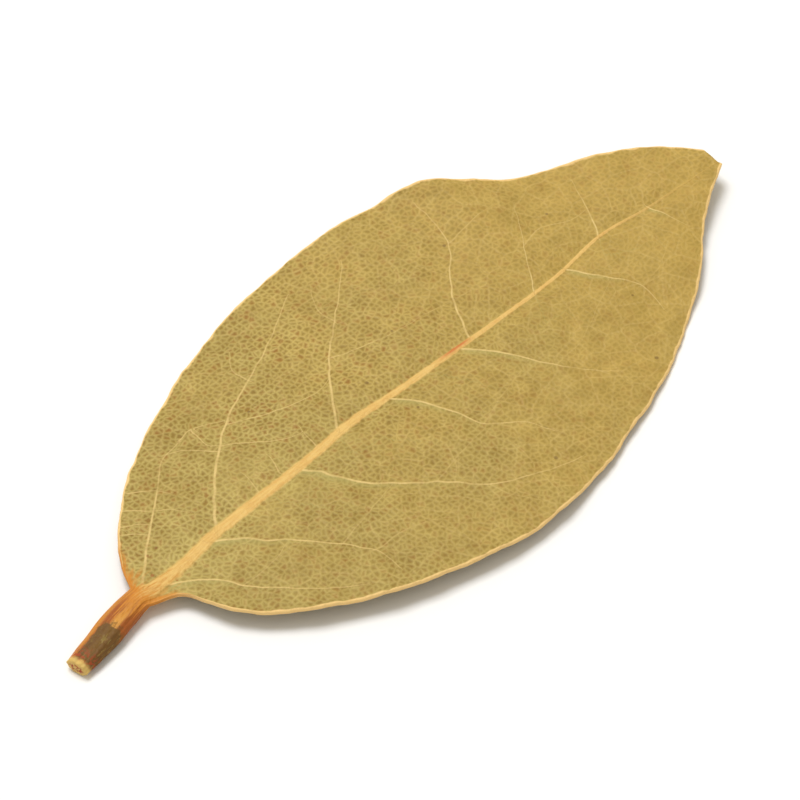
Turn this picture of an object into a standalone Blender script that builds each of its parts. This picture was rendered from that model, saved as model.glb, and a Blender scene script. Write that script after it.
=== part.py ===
"""A dried bay leaf with its stalk, lying on a flat surface.

The leaf is one grown piece: a thin warped blade, a midrib that stands proud of
both faces, and a flattened stalk that ends in a clean cut. The stalk points to
-X and the tip to +X. The origin is at the middle of the leaf's underside box,
on the surface that it lies on.
"""

import math

import bmesh
import bpy
from mathutils import Vector

MM = 0.001

# Driving dimensions, in millimetres. X runs from the blade's base to its tip,
# Y to the left margin, and Z is the height of the blade's middle surface.
BLADE_THICKNESS = 0.40
STALK_WIDTH = 2.3
STALK_HEIGHT = 1.5
ROWS = 46
COLUMNS = 10

# The margins and the midrib, from the base of the blade to its tip.
LEFT_MARGIN = [
    (0.0, 0.9), (1.1, 3.2), (4.0, 6.6), (8.2, 9.8), (13.0, 12.4), (19.0, 14.7),
    (25.0, 16.1), (31.0, 16.6), (36.5, 16.3), (40.9, 15.4), (43.9, 13.8),
    (46.2, 12.1), (51.0, 9.1), (55.8, 6.8), (58.9, 4.6), (61.3, 1.6), (61.5, -0.3),
]
RIGHT_MARGIN = [
    (0.2, -1.1), (2.2, -2.2), (3.0, -3.9), (3.9, -6.2), (6.0, -8.5), (10.2, -11.4),
    (15.6, -13.8), (21.5, -15.4), (26.4, -15.9), (32.1, -15.2), (37.8, -13.6),
    (43.3, -11.7), (48.6, -9.0), (53.0, -6.2), (56.6, -3.2), (61.5, -0.7),
]
MIDRIB = [
    (0.0, 0.0), (8.0, 0.3), (17.0, 0.8), (24.0, 1.1), (31.0, 0.8), (38.0, 0.8),
    (44.0, 0.6), (50.0, 1.1), (56.0, 0.5), (61.5, -0.5),
]

# Heights along the leaf, as (share of the length from base to tip, height).
MIDRIB_HEIGHT = [(0.0, 1.15), (0.25, 1.55), (0.5, 1.5), (0.75, 1.45), (1.0, 2.0)]
LEFT_HEIGHT = [
    (0.0, 1.2), (0.1, 1.0), (0.2, 0.5), (0.32, 0.2), (0.45, 0.5), (0.6, 1.3),
    (0.7, 2.5), (0.79, 1.3), (0.89, 1.9), (1.0, 2.0),
]
RIGHT_HEIGHT = [
    (0.0, 1.2), (0.1, 1.5), (0.25, 1.6), (0.42, 1.25), (0.58, 0.65), (0.74, 0.2),
    (0.88, 1.0), (1.0, 2.0),
]

# The stalk, from its cut end to the blade, as (x, y, z, share of STALK_WIDTH).
STALK = [(-7.4, -1.3, 0.68, 0.80), (-4.6, -0.8, 0.78, 0.99), (-2.0, -0.25, 0.96, 0.96)]
# The midrib, which runs on from the stalk: (share of the blade's length, share of STALK_WIDTH).
RIB = [(0.02, 0.84), (0.08, 0.58), (0.18, 0.48), (0.34, 0.38), (0.5, 0.30), (0.66, 0.24)]
RIB_DROP = 0.06
WELD = 0.01
SHARP_ANGLE = 40


def clear_scene():
    for item in list(bpy.data.objects):
        bpy.data.objects.remove(item, do_unlink=True)


def make_collection(name):
    collection = bpy.data.collections.new(name)
    bpy.context.scene.collection.children.link(collection)
    return collection


def smooth_curve(points, share):
    """The point this share of the way along a Catmull-Rom curve through points."""
    points = [Vector(p) for p in points]
    steps = [(b - a).length for a, b in zip(points, points[1:])]
    target = share * sum(steps)
    index = 0
    while index < len(steps) - 1 and target > steps[index]:
        target -= steps[index]
        index += 1
    t = min(1.0, max(0.0, target / steps[index]))
    before = points[max(index - 1, 0)]
    start, end = points[index], points[index + 1]
    after = points[min(index + 2, len(points) - 1)]
    slope = (end - before) * t
    bend = (2 * before - 5 * start + 4 * end - after) * t * t
    twist = (3 * start - before - 3 * end + after) * t ** 3
    return 0.5 * (2 * start + slope + bend + twist)


def height_at(stations, share):
    """The height at a share of the length, eased from station to station."""
    for (u0, z0), (u1, z1) in zip(stations, stations[1:]):
        if share <= u1:
            t = (share - u0) / (u1 - u0)
            return z0 + (z1 - z0) * t * t * (3 - 2 * t)
    return stations[-1][1]


def blade_point(u, v):
    """A point of the blade's middle surface, in millimetres.

    u runs from the base (0) to the tip (1), and v from the right margin (-1)
    over the midrib (0) to the left margin (1).
    """
    middle = smooth_curve(MIDRIB, u)
    margin = smooth_curve(LEFT_MARGIN if v > 0 else RIGHT_MARGIN, u)
    place = middle.lerp(margin, abs(v))
    centre = height_at(MIDRIB_HEIGHT, u)
    left = height_at(LEFT_HEIGHT, u)
    right = height_at(RIGHT_HEIGHT, u)
    tilt = 0.5 * (left - right)
    curl = 0.5 * (left + right) - centre
    return Vector((place.x, place.y, centre + tilt * v + curl * v * v))


def leaf_material():
    material = bpy.data.materials.new("dried_leaf")
    material.use_nodes = True
    shader = material.node_tree.nodes["Principled BSDF"]
    shader.inputs["Base Color"].default_value = (0.47, 0.33, 0.09, 1.0)
    shader.inputs["Roughness"].default_value = 0.6
    shader.inputs["Metallic"].default_value = 0.0
    return material


def make_blade(collection):
    """The blade: a grid laid on the warped middle surface and thickened both ways."""
    mesh = bpy.data.meshes.new("bay_leaf")
    grid = bmesh.new()
    bmesh.ops.create_grid(grid, x_segments=ROWS, y_segments=2 * COLUMNS, size=1.0)
    for vertex in grid.verts:
        u = 0.5 + 0.5 * math.sin(0.5 * math.pi * vertex.co.x)
        vertex.co = blade_point(u, vertex.co.y) * MM
    grid.to_mesh(mesh)
    grid.free()
    blade = bpy.data.objects.new("bay_leaf", mesh)
    collection.objects.link(blade)
    thicken = blade.modifiers.new("thickness", "SOLIDIFY")
    thicken.thickness = BLADE_THICKNESS * MM
    thicken.offset = 0.0
    thicken.use_even_offset = True
    return blade


def rib_points():
    """The stalk and the midrib as one run of (place in millimetres, share of width)."""
    points = [(Vector((x, y, z)), share) for x, y, z, share in STALK]
    for u, share in RIB:
        points.append((blade_point(u, 0.0) - Vector((0, 0, RIB_DROP)), share))
    return points


def make_rib(guides):
    """The stalk and midrib: one tapering tube with an oval section, made a mesh."""
    oval = bpy.data.curves.new("rib_section", "CURVE")
    ring = oval.splines.new("BEZIER")
    ring.bezier_points.add(3)
    half = (0.5 * STALK_WIDTH * MM, 0.5 * STALK_HEIGHT * MM)
    corners = [(half[0], 0), (0, half[1]), (-half[0], 0), (0, -half[1])]
    for point, (x, y) in zip(ring.bezier_points, corners):
        point.co = (x, y, 0)
        point.handle_left_type = point.handle_right_type = "AUTO"
    ring.use_cyclic_u = True
    oval.resolution_u = 4
    section = bpy.data.objects.new("rib_section", oval)
    guides.objects.link(section)
    section.hide_render = True
    section.display_type = "WIRE"

    path = bpy.data.curves.new("rib", "CURVE")
    path.dimensions = "3D"
    path.twist_mode = "Z_UP"
    path.bevel_mode = "OBJECT"
    path.bevel_object = section
    path.use_fill_caps = True
    path.resolution_u = 3
    spline = path.splines.new("BEZIER")
    points = rib_points()
    spline.bezier_points.add(len(points) - 1)
    for point, (place, share) in zip(spline.bezier_points, points):
        point.co = place * MM
        point.radius = share
        point.handle_left_type = point.handle_right_type = "AUTO"
    tube = bpy.data.objects.new("rib_curve", path)
    guides.objects.link(tube)

    bpy.context.view_layer.update()
    evaluated = tube.evaluated_get(bpy.context.evaluated_depsgraph_get())
    mesh = bpy.data.meshes.new_from_object(evaluated)
    welded = bmesh.new()
    welded.from_mesh(mesh)
    bmesh.ops.remove_doubles(welded, verts=welded.verts, dist=WELD * MM)
    bmesh.ops.recalc_face_normals(welded, faces=welded.faces)
    welded.to_mesh(mesh)
    welded.free()
    rib = bpy.data.objects.new("rib", mesh)
    rib.matrix_world = tube.matrix_world
    guides.objects.link(rib)
    rib.hide_render = True
    rib.display_type = "WIRE"
    bpy.data.objects.remove(tube)
    return rib


def join_and_seat(leaf, rib):
    """Joins the rib to the blade, and sets the leaf on the ground over the origin."""
    union = leaf.modifiers.new("rib", "BOOLEAN")
    union.operation = "UNION"
    union.solver = "EXACT"
    union.object = rib
    bpy.context.view_layer.update()
    evaluated = leaf.evaluated_get(bpy.context.evaluated_depsgraph_get())
    mesh = bpy.data.meshes.new_from_object(evaluated)
    leaf.modifiers.clear()
    leaf.data = mesh
    places = [v.co for v in mesh.vertices]
    low = Vector([min(p[i] for p in places) for i in range(3)])
    high = Vector([max(p[i] for p in places) for i in range(3)])
    foot = Vector((0.5 * (low.x + high.x), 0.5 * (low.y + high.y), low.z))
    for vertex in mesh.vertices:
        vertex.co -= foot
    mesh.shade_smooth()
    mesh.set_sharp_from_angle(angle=math.radians(SHARP_ANGLE))


def main():
    clear_scene()
    leaf_parts = make_collection("bay leaf")
    guides = make_collection("guides")
    leaf = make_blade(leaf_parts)
    rib = make_rib(guides)
    join_and_seat(leaf, rib)
    leaf.data.materials.clear()
    leaf.data.materials.append(leaf_material())


main()
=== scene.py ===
# %% [markdown]
# # A dried bay leaf
#
# A bay leaf dries to a thin, stiff, slightly twisted oval. It is olive tan, with a pale
# yellow midrib, pale side veins, a very fine net of veins between them, and a thin pale
# rim all round. The stalk is orange-brown where it meets the blade and grey-brown
# further out, where it ends in a clean cut.
#
# It could be sculpted, but then no size in it would be known. Here it is built from
# measured lines, and the frame gives its place and size.

# %% Load the frame
import math

import bpy
import numpy as np
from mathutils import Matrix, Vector, noise


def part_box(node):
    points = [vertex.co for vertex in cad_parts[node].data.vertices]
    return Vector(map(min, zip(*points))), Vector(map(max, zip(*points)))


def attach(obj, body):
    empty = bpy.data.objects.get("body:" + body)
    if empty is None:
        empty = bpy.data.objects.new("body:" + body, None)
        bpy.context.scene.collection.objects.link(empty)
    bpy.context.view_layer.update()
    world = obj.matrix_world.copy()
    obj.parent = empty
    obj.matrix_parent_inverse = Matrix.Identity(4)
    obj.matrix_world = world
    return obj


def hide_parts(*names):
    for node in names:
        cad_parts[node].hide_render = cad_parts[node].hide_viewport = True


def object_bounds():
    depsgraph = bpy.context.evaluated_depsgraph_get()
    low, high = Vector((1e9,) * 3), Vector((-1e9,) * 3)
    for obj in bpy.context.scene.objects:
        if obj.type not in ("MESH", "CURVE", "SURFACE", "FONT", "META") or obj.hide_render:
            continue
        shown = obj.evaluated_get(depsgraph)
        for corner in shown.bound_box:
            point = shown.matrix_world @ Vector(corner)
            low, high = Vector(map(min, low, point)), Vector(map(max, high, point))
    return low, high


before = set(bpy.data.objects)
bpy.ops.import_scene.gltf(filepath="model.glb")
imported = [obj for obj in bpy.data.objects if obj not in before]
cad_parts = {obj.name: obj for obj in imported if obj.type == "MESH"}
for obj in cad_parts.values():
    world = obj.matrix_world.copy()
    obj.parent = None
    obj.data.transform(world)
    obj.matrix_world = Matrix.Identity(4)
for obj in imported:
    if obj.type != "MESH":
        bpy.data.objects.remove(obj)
cad_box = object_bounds()
MM = 0.001
leaf_low, leaf_high = (np.array(corner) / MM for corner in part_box("bay_leaf"))
print(len(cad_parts), "node, with its box in mm from", leaf_low.round(2),
      "to", leaf_high.round(2))

# %% [markdown]
# ## Curves through a few points
#
# A leaf's margins and veins are smooth, slightly irregular lines. A Bezier curve needs two
# handles at every point. A Catmull-Rom curve needs only the points and passes through
# each of them, so every point can be given one by one.

# %% A smooth curve, and heights eased from station to station
def along(points, shares):
    """Points at these shares of a Catmull-Rom curve's length, one row each."""
    p = np.array(points, float)
    ends = np.vstack([2 * p[0] - p[1], p, 2 * p[-1] - p[-2]])
    reach = np.concatenate([[0], np.cumsum(np.linalg.norm(np.diff(p, axis=0), axis=1))])
    target = np.asarray(shares, float) * reach[-1]
    i = np.clip(np.searchsorted(reach, target, side="right") - 1, 0, len(p) - 2)
    t = ((target - reach[i]) / (reach[i + 1] - reach[i]))[:, None]
    a, b, c, d = ends[i], ends[i + 1], ends[i + 2], ends[i + 3]
    return 0.5 * (2 * b + (c - a) * t + (2 * a - 5 * b + 4 * c - d) * t**2
                  + (3 * b - a - 3 * c + d) * t**3)


def smoothstep(low, high, value):
    """From 0 at low to 1 at high, level at both ends."""
    t = np.clip((value - low) / (high - low), 0, 1)
    return t * t * (3 - 2 * t)


def eased(stations, shares):
    """Values at these shares, level at each (share, value) station."""
    at, values = np.array(stations, float).T
    i = np.clip(np.searchsorted(at, shares, side="right") - 1, 0, len(at) - 2)
    return values[i] + (values[i + 1] - values[i]) * smoothstep(at[i], at[i + 1], shares)


def bell(distance, width):
    """One at no distance, and next to nothing at twice the width."""
    return np.exp(-((distance / width) ** 2))


print("a quarter of the way, eased:", smoothstep(0.0, 1.0, 0.25))

# %% [markdown]
# ## Outline, midrib and warp
#
# All shapes are in millimetres on the leaf's own ruler. Its zero is where the stalk meets
# the blade, X runs to the tip and Y to the left margin.
#
# The blade is widest just short of its middle. It dried with a gentle twist: the left
# margin touches the table towards the base and lifts towards the tip, where it is wavy,
# and the right margin does the opposite. The tip is nicked off at a slant. A flat sheet
# could be bent with modifiers, but three height lines, for the midrib and each margin,
# say directly how high each place lies.

# %% Margins, midrib and heights
LEFT_MARGIN = [
    (0.0, 1.0), (1.1, 3.2), (4.0, 6.6), (8.2, 9.8), (13.0, 12.4), (19.0, 14.7),
    (25.0, 16.1), (31.0, 16.6), (36.5, 16.3), (40.9, 15.4), (43.9, 13.8), (46.2, 12.1),
    (51.0, 9.1), (55.8, 6.8), (58.9, 4.6), (61.45, 1.55),
]
RIGHT_MARGIN = [
    (0.0, -1.1), (2.2, -2.1), (3.0, -3.9), (3.9, -6.2), (6.0, -8.5), (10.2, -11.4),
    (15.6, -13.8), (21.5, -15.4), (26.4, -15.9), (32.1, -15.2), (37.8, -13.6),
    (43.3, -11.7), (48.6, -9.0), (53.0, -6.2), (56.6, -3.2), (61.5, -0.4),
]
MIDRIB = [
    (0.0, 0.0), (2.0, -0.2), (5.0, -0.02), (8.0, 0.34), (17.0, 0.58), (22.4, 1.02),
    (26.0, 0.88), (31.0, 0.74), (38.0, 0.6), (44.0, 0.64), (49.4, 1.2), (54.4, 0.48),
    (61.4, -0.1),
]
MIDRIB_HEIGHT = [(0.0, 1.15), (0.25, 1.55), (0.5, 1.5), (0.75, 1.45), (1.0, 2.0)]
LEFT_HEIGHT = [
    (0.0, 1.2), (0.1, 1.0), (0.2, 0.5), (0.32, 0.2), (0.45, 0.5), (0.6, 1.3),
    (0.7, 2.36), (0.79, 1.3), (0.89, 1.85), (1.0, 2.0),
]
RIGHT_HEIGHT = [
    (0.0, 1.2), (0.1, 1.5), (0.25, 1.6), (0.42, 1.25), (0.58, 0.65), (0.74, 0.2),
    (0.88, 1.0), (1.0, 2.0),
]
STALK = [(-7.4, -1.3), (-4.6, -0.8), (-2.0, -0.25), (0.0, 0.0), (2.0, 0.1)]
print(len(LEFT_MARGIN) + len(RIGHT_MARGIN), "points along the margins")

# %% [markdown]
# The ruler's zero is found from the frame: the tip meets the box's end, and the widest
# places meet its sides. The skin is a little thinner than the frame's solid, so it is
# let down by that difference until it touches the table.

# %% The ruler's zero in the frame
TIP = RIGHT_MARGIN[-1][0]
shares = np.linspace(0, 1, 400)
widest = along(LEFT_MARGIN, shares)[:, 1].max(), along(RIGHT_MARGIN, shares)[:, 1].min()
SETTLE = 0.065
ZERO = np.array([leaf_high[0] - TIP, 0.5 * (leaf_low[1] + leaf_high[1] - sum(widest)),
                 leaf_low[2] - SETTLE])
print("blade", (widest[0] - widest[1]).round(2), "mm wide; zero of the ruler at", ZERO.round(2))

# %% [markdown]
# ## Veins
#
# Six side veins leave the midrib on the left and seven on the right, at 45 to 60 degrees,
# and bend forwards near the margin. A branching rule could grow them, but these few are
# what the eye knows a leaf by, so each is a short list of points on the ruler, with its
# half width at the midrib as the last number.

# %% The side veins
SIDE_VEINS = [
    ([(0.7, 0.5), (2.0, 1.6), (3.5, 3.0), (5.6, 4.7), (8.3, 6.9), (10.0, 8.5),
      (12.4, 9.0)], 0.15),
    ([(8.1, 0.4), (9.4, 2.0), (11.1, 3.8), (13.1, 5.6), (16.2, 7.9), (19.5, 9.5),
      (22.4, 10.7), (25.6, 12.4), (28.4, 14.0)], 0.16),
    ([(21.2, 1.1), (23.2, 3.8), (25.5, 6.5), (28.9, 9.4), (31.6, 11.6), (33.6, 13.4)], 0.14),
    ([(34.8, 0.9), (35.6, 2.4), (36.7, 4.5), (38.6, 6.7), (40.2, 8.4), (41.1, 11.2),
      (41.4, 13.4)], 0.12),
    ([(41.7, 0.7), (42.3, 1.6), (43.8, 3.7), (44.9, 5.2), (46.8, 7.9)], 0.07),
    ([(49.3, 1.2), (50.3, 3.0), (51.2, 5.0), (51.9, 6.7)], 0.10),
    ([(1.2, -0.3), (2.5, -0.9), (4.0, -2.0), (5.2, -3.3), (6.0, -5.0), (7.9, -7.2),
      (9.8, -9.2), (12.4, -11.2)], 0.13),
    ([(7.0, 0.2), (9.0, -1.6), (10.1, -3.1), (11.9, -5.0), (14.2, -8.1), (15.1, -9.8),
      (15.0, -11.6)], 0.14),
    ([(16.2, 0.7), (17.3, -0.9), (18.7, -3.8), (20.6, -5.8), (23.6, -8.5), (25.5, -10.6),
      (29.1, -12.3), (32.6, -13.2)], 0.15),
    ([(26.0, 0.9), (27.4, -1.1), (28.7, -3.9), (29.4, -6.0), (31.7, -7.9),
      (32.9, -10.2)], 0.13),
    ([(33.4, 0.7), (35.7, -2.4), (37.2, -5.1), (38.9, -7.3), (40.6, -9.0)], 0.13),
    ([(45.1, 0.6), (46.7, -1.9), (48.2, -4.4), (47.9, -7.2)], 0.11),
    ([(54.1, 0.5), (54.5, -1.0), (55.0, -2.7)], 0.08),
]
print(len(SIDE_VEINS), "side veins")

# %% [markdown]
# Thin branches leave the side veins, curve across the blade and join the next vein or
# end on the way. There are many more than these on a real leaf, and the finish draws the
# rest as a pattern. These are the clearest, all of one width.

# %% The clearest branches
BRANCH_HALF_WIDTH = 0.09
BRANCHES = [
    [(6.1, 8.0), (7.8, 6.6), (8.3, 5.6)],
    [(3.5, 5.8), (4.8, 4.9), (5.2, 4.4)],
    [(3.0, 5.2), (3.5, 4.8), (4.4, 3.8)],
    [(4.7, 6.9), (6.3, 5.2), (7.2, 4.4), (7.9, 3.1)],
    [(12.4, 9.1), (13.9, 9.2), (16.4, 8.0)],
    [(13.7, 9.1), (13.5, 7.2), (14.1, 6.5)],
    [(13.6, 6.1), (11.9, 8.1), (10.6, 8.9)],
    [(14.1, 6.4), (15.5, 5.3), (17.5, 3.5), (19.4, 2.6)],
    [(12.8, 0.9), (13.1, 1.9), (13.2, 2.9)],
    [(15.2, 1.2), (15.6, 2.1), (15.8, 3.2)],
    [(19.0, 1.2), (19.1, 2.3), (19.4, 3.4)],
    [(20.2, 9.7), (20.1, 11.4), (21.4, 13.2)],
    [(16.0, 7.7), (19.5, 5.8), (22.6, 4.9), (25.0, 5.6)],
    [(28.8, 9.3), (28.8, 11.2), (30.2, 13.4)],
    [(26.0, 6.8), (30.4, 5.2), (33.6, 4.8), (36.6, 4.3)],
    [(40.4, 8.6), (43.2, 8.8), (45.4, 8.9)],
    [(44.4, 4.4), (46.6, 4.8), (48.8, 3.8), (50.6, 3.7)],
    [(5.9, -4.8), (8.4, -4.9), (11.0, -4.2)],
    [(14.9, -9.3), (17.6, -9.4), (20.4, -10.4), (22.2, -12.0)],
    [(13.6, -7.2), (17.0, -6.4), (20.4, -5.6)],
    [(25.5, -10.7), (26.0, -12.4), (27.2, -14.2)],
    [(29.1, -12.3), (28.9, -13.4), (28.8, -14.7)],
    [(22.8, -7.7), (26.0, -7.0), (29.6, -6.4)],
    [(32.0, -8.9), (33.8, -10.8), (36.0, -12.2)],
    [(29.4, -6.1), (32.6, -5.0), (36.6, -3.8)],
    [(25.7, -6.0), (25.0, -7.5), (24.0, -8.5)],
    [(29.6, -9.0), (29.4, -11.0), (28.6, -12.2)],
    [(37.6, -5.6), (40.6, -5.2), (43.4, -4.0), (47.0, -2.4)],
    [(39.6, -8.0), (40.6, -9.8), (42.6, -11.2)],
    [(41.4, 0.4), (42.2, -0.7), (43.3, -1.6)],
    [(48.0, -4.4), (50.2, -4.2), (53.0, -2.8)],
]
THIN_VEINS = [(points, BRANCH_HALF_WIDTH) for points in BRANCHES]
print(len(BRANCHES), "branches")

# %% [markdown]
# A real vein wiggles a little between the points that give its course. Many more points
# could be set by eye. Noise does the same, and it reads the place on the ruler, so that
# two veins that meet wiggle alike where they meet.

# %% A vein as a fine line
VEIN_STEP = 0.2
WIGGLE_DEPTH, WIGGLES_PER_MM, WIGGLE_SEEDS = 0.11, 0.9, (3.0, 9.0)


def vein_line_points(points):
    """A vein as a fine polyline that wiggles a little."""
    length = np.linalg.norm(np.diff(np.array(points), axis=0), axis=1).sum()
    line = along(points, np.linspace(0, 1, max(8, int(length / VEIN_STEP))))
    wiggle = [[noise.noise(Vector((x * WIGGLES_PER_MM, y * WIGGLES_PER_MM, seed)))
               for seed in WIGGLE_SEEDS] for x, y in line]
    return line + WIGGLE_DEPTH * np.array(wiggle)


print("the first vein has", len(vein_line_points(SIDE_VEINS[0][0])), "points when drawn")

# %% [markdown]
# A vein shapes the surface beside it and tints it. Both need the distance from any place
# to the nearest vein, so it is measured once and used for the ridges and the colour. It is
# positive on the vein's left and negative on its right.

# %% Distance from any place on the blade to the nearest vein
NEAR, FAR = 3.0, 9.0
VEIN_TAPER, NO_VEIN_WIDTH = 0.6, 0.05


def vein_distances(places, veins):
    """Signed distance to the nearest vein, its half width there, and the share of it gone."""
    signed = np.full(len(places), FAR)
    width = np.full(len(places), NO_VEIN_WIDTH)
    gone = np.zeros(len(places))
    for points, half in veins:
        line = vein_line_points(points)
        near = (places > line.min(0) - NEAR) & (places < line.max(0) + NEAR)
        index = np.flatnonzero(np.all(near, axis=1))
        start, step = line[:-1], np.diff(line, axis=0)
        rel = places[index][:, None, :] - start[None]
        t = np.clip((rel * step).sum(2) / (step * step).sum(1), 0, 1)
        off = rel - t[:, :, None] * step
        distance = np.sqrt((off * off).sum(2))
        k = distance.argmin(1)
        row = np.arange(len(index))
        side = step[k, 0] * rel[row, k, 1] - step[k, 1] * rel[row, k, 0]
        found = np.sign(side) * distance[row, k]
        closer = np.abs(found) < np.abs(signed[index])
        index, row = index[closer], row[closer]
        signed[index] = found[row]
        gone[index] = (k[row] + t[row, k[row]]) / len(step)
        width[index] = half * (1.0 - VEIN_TAPER * gone[index])
    return signed, width, gone


print("half width of the first vein at its root",
      vein_distances(vein_line_points(SIDE_VEINS[0][0]), SIDE_VEINS[:1])[1][0].round(2), "mm")

# %% [markdown]
# ## The leaf as one flattened tube
#
# Stalk, midrib and blade grew as one piece, so they are modelled as one skin: a tube
# that is oval in the stalk and pressed almost flat in the blade. A sheet with a separate
# stalk would show a joint where the real leaf flows from one to the other. The tube
# starts as a plain grid, as if slit along one margin and unrolled. Its rows are stations
# along the leaf, and its columns go from the right margin over the upper face to the
# left margin and back along the underside.

# %% Stations along the leaf
STALK_ROWS, BLADE_ROWS = 42, 256
EDGE_SHARES = [0.9975, 0.9990, 0.9997, 1.0]  # the tip's own margin, closely spaced

stalk_share = np.linspace(0, 1, STALK_ROWS, endpoint=False)
blade_share = np.concatenate([np.linspace(0, 0.9955, BLADE_ROWS), EDGE_SHARES])
stalk_path = along(STALK, shares)
stalk_end = int(np.argmin(np.abs(stalk_path[:, 0]))) + 1
stalk_centre = along(stalk_path[:stalk_end][::6], stalk_share)
blade_centre = along(MIDRIB, blade_share)
centre = np.vstack([stalk_centre, blade_centre])
rows = len(centre)
on_blade = np.arange(rows) >= STALK_ROWS
share = np.concatenate([np.zeros(STALK_ROWS), blade_share])
steps = np.linalg.norm(np.diff(centre, axis=0), axis=1)
station = np.concatenate([[0], np.cumsum(steps)])
station -= station[STALK_ROWS]
print(rows, "stations, from", station[0].round(2), "to", station[-1].round(2), "mm")

# %% [markdown]
# The stalk is an oval two millimetres wide, and the midrib is that same oval running on
# into the blade, thinner and thinner. So one list of widths serves both.

# %% Widths of the stalk and the midrib at each station
RIB_HALF_WIDTH = [
    (-7.5, 0.90), (-5.8, 1.02), (-3.6, 1.13), (-1.8, 1.10), (-0.3, 1.02), (2.0, 0.72),
    (5.0, 0.60), (10.0, 0.55), (20.0, 0.46), (28.0, 0.34), (36.0, 0.23), (46.0, 0.17),
    (55.0, 0.13), (62.0, 0.08),
]
RIB_TOP = [
    (-7.5, 0.58), (-4.6, 0.66), (-1.5, 0.58), (2.0, 0.32), (5.0, 0.25), (12.0, 0.23),
    (24.0, 0.21), (40.0, 0.19), (56.0, 0.165), (62.0, 0.15),
]
RIB_UNDER = [
    (-7.5, 0.60), (-4.6, 0.68), (-1.5, 0.70), (2.0, 0.66), (5.0, 0.58), (12.0, 0.50),
    (24.0, 0.38), (40.0, 0.27), (62.0, 0.20),
]
STALK_HEIGHT = [(-7.5, 0.66), (-5.0, 0.74), (-2.2, 0.92), (0.0, 1.15)]
rib_half, rib_top, rib_under = (
    eased(stations, station) for stations in (RIB_HALF_WIDTH, RIB_TOP, RIB_UNDER))
middle_height = np.where(on_blade, eased(MIDRIB_HEIGHT, share), eased(STALK_HEIGHT, station))
print("midrib width at the base", (2 * rib_half[STALK_ROWS + 20]).round(2), "mm")

# %% [markdown]
# Near a margin and over the midrib the surface bends quickly. Finer columns everywhere
# would cost many faces, so they are packed closer just there than in the open blade.

# %% Columns across one half of a station
HALF_COLUMNS, FINE_STEPS = 73, 900
RIB_PACKING, MARGIN_PACKING, MARGIN_NEAR = 1.6, 5.0, 0.22


def columns_across(reach, rib):
    """Distances from the midrib's middle to the margin, packed at both ends."""
    fine = np.linspace(0, reach, FINE_STEPS)
    density = (1 + RIB_PACKING * bell(fine, 1.5 * rib + 0.1)
               + MARGIN_PACKING * np.exp(-(reach - fine) / MARGIN_NEAR))
    total = np.concatenate([[0], np.cumsum(0.5 * (density[1:] + density[:-1]))])
    return np.interp(np.linspace(0, total[-1], HALF_COLUMNS + 1), total, fine)


def half_station(i, edge):
    """Distances across and the unit direction from the midrib to the margin."""
    out = edge - centre[i]
    reach = float(np.hypot(*out))
    packed = columns_across(reach, rib_half[i])
    quarter = reach * np.sin(np.linspace(0, 0.5 * math.pi, HALF_COLUMNS + 1))
    flat = float(smoothstep(-0.5, 3.5, station[i]))
    return packed * flat + quarter * (1 - flat), out / reach, reach


print(HALF_COLUMNS + 1, "columns from the midrib to each margin")

# %% [markdown]
# A dried margin is never quite smooth. More points could be drawn, but smooth noise at
# two sizes gives the same unevenness, and it can be turned up or down in one place.

# %% Margins at each station, with the small unevenness of a dried edge
NOISE_GAIN = 1.8
EDGE_UNEVEN = ((0.06, 2.6, 3), (0.035, 0.8, 11))  # depth and length in mm, and a seed


def wander(values, scale, seed):
    """A smooth irregular value between about -1 and 1 for each place on a line."""
    line = [noise.noise(Vector((v / scale, seed, 0.37 * seed))) for v in values]
    return np.array(line) * NOISE_GAIN


tangent = np.gradient(centre, axis=0)
tangent /= np.linalg.norm(tangent, axis=1)[:, None]
normal = np.stack([-tangent[:, 1], tangent[:, 0]], 1)
edges = {}
for name, margin, sign in (("left", LEFT_MARGIN, 1), ("right", RIGHT_MARGIN, -1)):
    drawn = along(margin, blade_share)
    run = blade_share * np.linalg.norm(np.diff(np.array(margin), axis=0), axis=1).sum()
    out = np.gradient(drawn, axis=0)
    out = np.stack([-out[:, 1], out[:, 0]], 1) * sign
    out /= np.linalg.norm(out, axis=1)[:, None]
    uneven = sum(depth * wander(run, size, seed + sign) for depth, size, seed in EDGE_UNEVEN)
    calm = smoothstep(1.0, 4.0, run) * (1 - smoothstep(0.985, 1.0, blade_share))
    drawn = drawn + out * (uneven * calm)[:, None]
    edge = centre + normal * (sign * rib_half)[:, None]
    edge[on_blade] = drawn
    edges[name] = edge
print("widest", (edges["left"][:, 1].max() - edges["right"][:, 1].min()).round(2), "mm")

# %% [markdown]
# ## Relief
#
# Between its veins a dried leaf puckers: the lamina rises a tenth of a millimetre or so.
# The side veins are fine ridges on the upper face and stronger ones on the underside.
# The margin has its own small waves. Sculpting by hand would not follow the veins, so the
# relief is worked out from the distances to them.

# %% Places and heights before any relief
def surface(i, side):
    """One half station: places, heights, distances across and to the margin.

    Across the leaf the height is a parabola through the three height lines.
    """
    across, out, reach = half_station(i, edges[side][i])
    places = centre[i] + np.outer(across, out)
    v = across / reach * (1 if side == "left" else -1)
    left, right = (eased(h, share[i:i + 1])[0] for h in (LEFT_HEIGHT, RIGHT_HEIGHT))
    low = middle_height[i]
    if not on_blade[i]:
        left = right = low
    height = low + 0.5 * (left - right) * v + (0.5 * (left + right) - low) * v * v
    return places, height, across, reach - across


halves = {}
for side in ("left", "right"):
    parts = [surface(i, side) for i in range(rows)]
    halves[side] = [np.array([p[k] for p in parts]) for k in range(4)]
print("half a face holds", halves["left"][1].shape, "points")

# %% [markdown]
# Everything in the relief depends on how far a place is from the veins. These distances
# are measured once for each half.

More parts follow.
